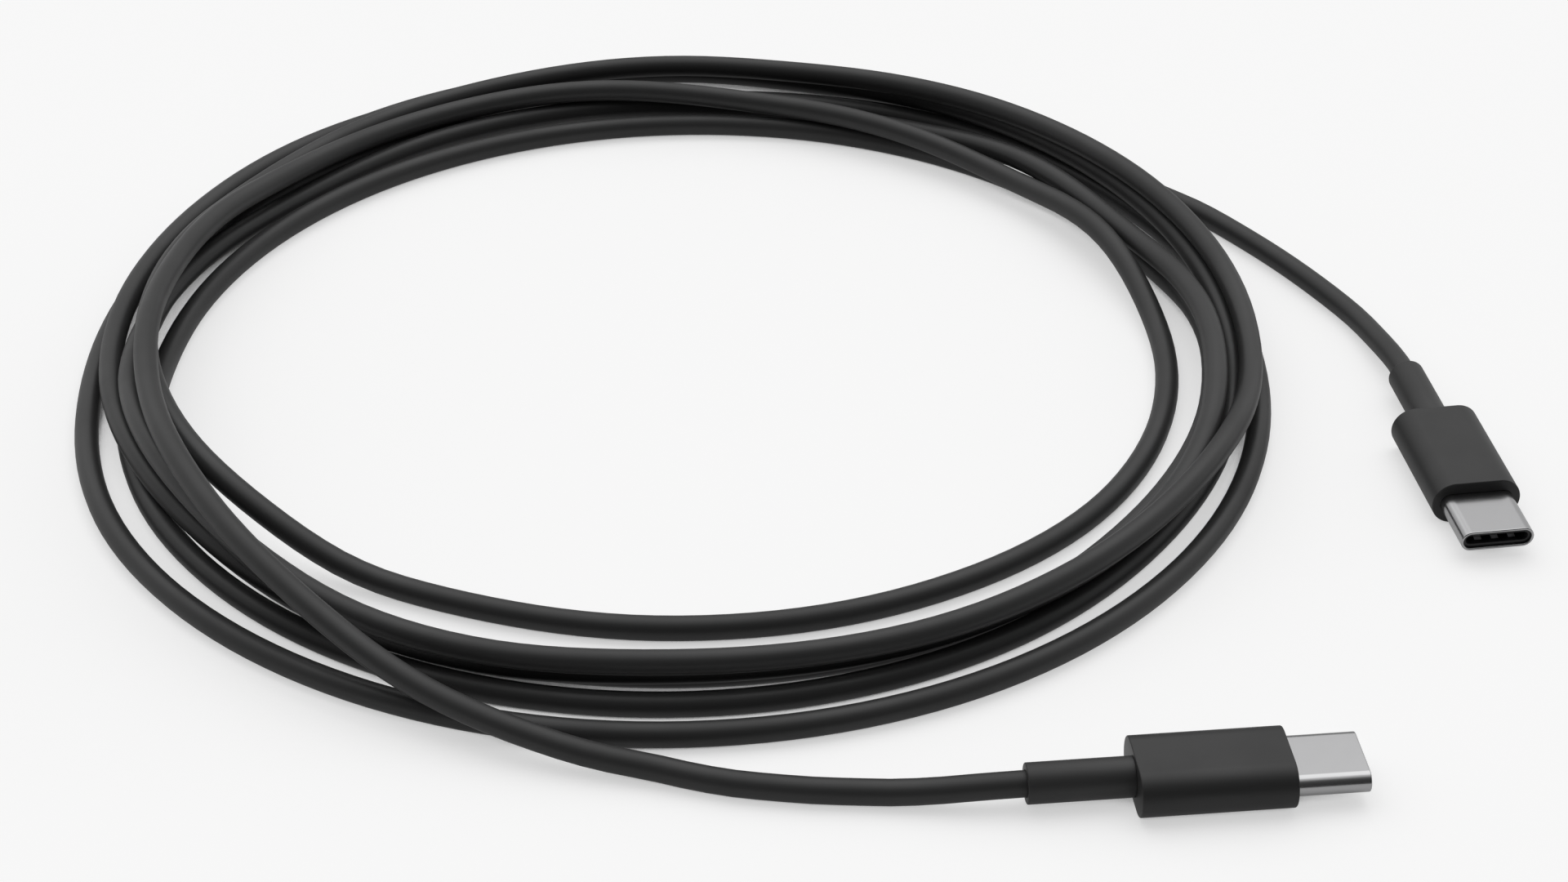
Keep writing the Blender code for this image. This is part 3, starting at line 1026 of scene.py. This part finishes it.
def studio_world(strength):
    """Lamps overhead and pale walls, with an even backdrop where the camera sees it."""
    world = bpy.data.worlds.new("studio")
    world.use_nodes = True
    tree = world.node_tree
    backdrop = tree.nodes["Background"]
    backdrop.inputs["Color"].default_value = BACKDROP
    light = None
    for label, way, falls in STUDIO_LIGHTS:
        added = light_from(tree, label, way, falls, strength)
        if light is not None:
            both = node(tree, "ShaderNodeAddShader", "with the " + label)
            tree.links.new(light, both.inputs[0])
            tree.links.new(added, both.inputs[1])
            added = both.outputs[0]
        light = added
    seen = node(tree, "ShaderNodeLightPath", "seen or lighting")
    either = node(tree, "ShaderNodeMixShader", "backdrop where it is seen")
    tree.links.new(seen.outputs["Is Camera Ray"], either.inputs[0])
    tree.links.new(light, either.inputs[1])
    tree.links.new(backdrop.outputs[0], either.inputs[2])
    tree.links.new(either.outputs[0], tree.nodes["World Output"].inputs["Surface"])
    return world


class CABLE_OT_studio(bpy.types.Operator):
    """Set up the pale floor, the soft light and the camera"""

    bl_idname = "cable.studio"
    bl_label = "Studio"

    def execute(self, context):
        """Make the floor, the lights and the camera."""
        scene = context.scene
        settings = scene.studio_settings
        camera = bpy.data.objects.new("camera", bpy.data.cameras.new("camera"))
        scene.collection.objects.link(camera)
        camera.location = CAMERA_PLACE
        camera.rotation_euler = (math.pi / 2 - CAMERA_DIP, 0.0, 0.0)
        camera.data.lens = CAMERA_LENS
        camera.data.sensor_width = CAMERA_SENSOR
        camera.data.clip_start = CAMERA_NEAR
        camera.data.clip_end = CAMERA_FAR
        scene.camera = camera
        mesh = bpy.data.meshes.new("floor")
        corners = [
            (across * FLOOR_REACH, away * FLOOR_REACH, 0.0)
            for across, away in ((-1, -1), (1, -1), (1, 1), (-1, 1))
        ]
        mesh.from_pydata(corners, [], [(0, 1, 2, 3)])
        floor = bpy.data.objects.new("floor", mesh)
        scene.collection.objects.link(floor)
        mesh.materials.append(floor_material(settings.floor_colour, settings.floor_glow))
        key = bpy.data.objects.new("key_light", bpy.data.lights.new("key_light", "SUN"))
        key.data.energy = settings.key_strength
        key.data.angle = KEY_SPREAD
        key.rotation_euler = KEY_TURN
        scene.collection.objects.link(key)
        scene.world = studio_world(settings.sky_strength)
        scene.view_settings.view_transform = "Standard"
        return {"FINISHED"}


# Panel and registration


class CABLE_PT_panel(bpy.types.Panel):
    """The cable's buttons and settings in the 3D view's sidebar."""

    bl_idname = "CABLE_PT_panel"
    bl_label = "USB-C Cable"
    bl_space_type = "VIEW_3D"
    bl_region_type = "UI"
    bl_category = "Cable"

    def draw(self, context):
        """List the buttons and the settings."""
        for operator in OPERATORS:
            self.layout.operator(operator.bl_idname)
        for settings in ("studio_settings", "cable_settings", "plug_settings"):
            group = getattr(context.scene, settings)
            column = self.layout.column()
            for name in group.__annotations__:
                column.prop(group, name)


OPERATORS = (
    CABLE_OT_studio,
    CABLE_OT_sleeves,
    CABLE_OT_housings,
    CABLE_OT_shells,
    CABLE_OT_mouths,
    CABLE_OT_cable,
)
CLASSES = (CableSettings, PlugSettings, StudioSettings, *OPERATORS, CABLE_PT_panel)


def register():
    """Register the classes and the scene's settings."""
    for item in CLASSES:
        bpy.utils.register_class(item)
    bpy.types.Scene.cable_settings = bpy.props.PointerProperty(type=CableSettings)
    bpy.types.Scene.plug_settings = bpy.props.PointerProperty(type=PlugSettings)
    bpy.types.Scene.studio_settings = bpy.props.PointerProperty(type=StudioSettings)


def unregister():
    """Remove the scene's settings and the classes."""
    del bpy.types.Scene.studio_settings
    del bpy.types.Scene.plug_settings
    del bpy.types.Scene.cable_settings
    for item in reversed(CLASSES):
        bpy.utils.unregister_class(item)


def main():
    """Make the studio and every piece."""
    register()
    bpy.ops.cable.studio()
    bpy.ops.cable.sleeves()
    bpy.ops.cable.housings()
    bpy.ops.cable.shells()
    bpy.ops.cable.mouths()
    bpy.ops.cable.cable()


if __name__ == "__main__":
    main()
